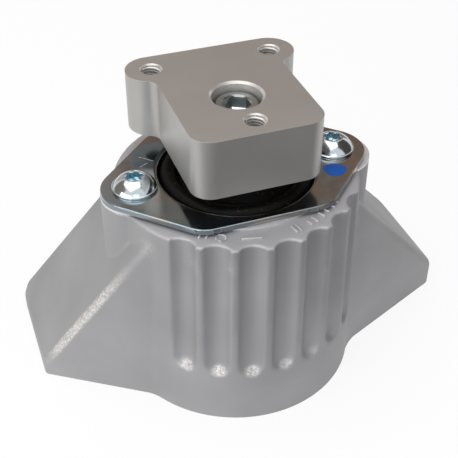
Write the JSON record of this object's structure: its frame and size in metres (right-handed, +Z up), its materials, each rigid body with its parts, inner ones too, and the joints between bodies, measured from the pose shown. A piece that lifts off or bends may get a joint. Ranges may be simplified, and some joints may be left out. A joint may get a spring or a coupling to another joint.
{
  "type": "engine mount",
  "caption": "Hydraulic engine mount: a fluted cast pot with two swept feet, a rubber spring under a screwed plate, and a machined block with tapped holes on top.",
  "frame": {"origin": "on the pot's axis, in the mouth of the vent at the flat base", "axes": "+X from the left foot to the right foot along the two plate screws, +Y to the back where the block's two ears are, +Z up along the pot's axis and the centre screw"},
  "size_m": [0.2285, 0.1273, 0.1515],
  "materials": {
    "casting": "shot-blasted cast aluminium, light grey",
    "block": "machined and anodised, fine satin",
    "plate_zinc": "rolled steel with bright zinc plating",
    "screw_zinc": "bright blue-white zinc plating",
    "centre_zinc": "bright zinc plating with a slight blue-green cast",
    "pin_steel": "ground steel",
    "core_alloy": "forged aluminium, dull",
    "sleeve_steel": "deep-drawn steel, phosphated",
    "channel_alloy": "die-cast aluminium, machined faces",
    "spring_rubber": "moulded natural rubber, semi-matt black",
    "soft_rubber": "soft moulded rubber, matt black"
  },
  "bodies": {
    "root": {"housing": "casting", "holding_plate": "plate_zinc", "plate_screw_left": "screw_zinc", "plate_screw_right": "screw_zinc", "top_block": "block", "centre_screw": "centre_zinc", "locating_pin": "pin_steel", "spring_core": "core_alloy", "rubber_spring": "spring_rubber", "support_sleeve": "sleeve_steel", "upper_channel_plate": "channel_alloy", "membrane": "soft_rubber", "lower_channel_plate": "channel_alloy", "sealing_ring": "soft_rubber", "bellows": "soft_rubber"}
  },
  "joints": []
}
